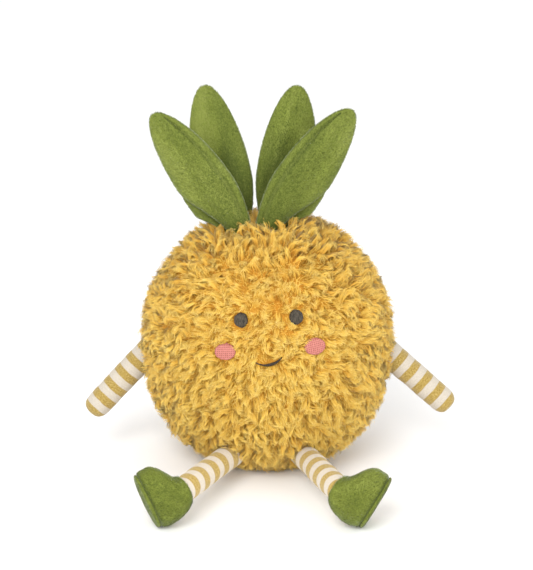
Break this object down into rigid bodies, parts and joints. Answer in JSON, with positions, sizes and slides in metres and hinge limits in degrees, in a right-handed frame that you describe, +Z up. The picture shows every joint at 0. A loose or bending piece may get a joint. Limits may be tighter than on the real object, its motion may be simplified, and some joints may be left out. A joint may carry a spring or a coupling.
{
  "type": "plush pineapple toy",
  "caption": "Seated soft toy shaped like a pineapple: curly plush body with a sewn face, stuffed leaves, striped jersey limbs and velour boots.",
  "frame": {"origin": "centre of the flat base panel that the toy sits on, on the floor plane", "axes": "+Z up along the body; the face looks along -Y; +X to the viewer's right when facing the toy"},
  "size_m": [0.2534, 0.1971, 0.2631],
  "materials": {
    "plush_mustard": "matte",
    "velour_green": "matte",
    "jersey_striped": "matte",
    "fibrefill_white": "matte",
    "pouch_canvas": "matte",
    "thread_dark": "satin",
    "thread_pink": "satin"
  },
  "bodies": {
    "root": {"body_front_panel": "plush_mustard", "body_back_panel": "plush_mustard", "body_base_panel": "plush_mustard", "body_stuffing": "fibrefill_white", "bean_pouch": "pouch_canvas", "leaf_front_left_front_panel": "velour_green", "leaf_front_left_back_panel": "velour_green", "leaf_front_left_stuffing": "fibrefill_white", "leaf_front_right_front_panel": "velour_green", "leaf_front_right_back_panel": "velour_green", "leaf_front_right_stuffing": "fibrefill_white", "leaf_back_left_front_panel": "velour_green", "leaf_back_left_back_panel": "velour_green", "leaf_back_left_stuffing": "fibrefill_white", "leaf_back_right_front_panel": "velour_green", "leaf_back_right_back_panel": "velour_green", "leaf_back_right_stuffing": "fibrefill_white", "arm_left_sleeve": "jersey_striped", "arm_left_stuffing": "fibrefill_white", "arm_right_sleeve": "jersey_striped", "arm_right_stuffing": "fibrefill_white", "leg_left_sleeve": "jersey_striped", "leg_left_stuffing": "fibrefill_white", "leg_right_sleeve": "jersey_striped", "leg_right_stuffing": "fibrefill_white", "foot_left_upper": "velour_green", "foot_left_sole": "velour_green", "foot_left_stuffing": "fibrefill_white", "foot_right_upper": "velour_green", "foot_right_sole": "velour_green", "foot_right_stuffing": "fibrefill_white", "eye_left": "thread_dark", "eye_right": "thread_dark", "cheek_left": "thread_pink", "cheek_right": "thread_pink", "mouth": "thread_dark"}
  },
  "joints": []
}
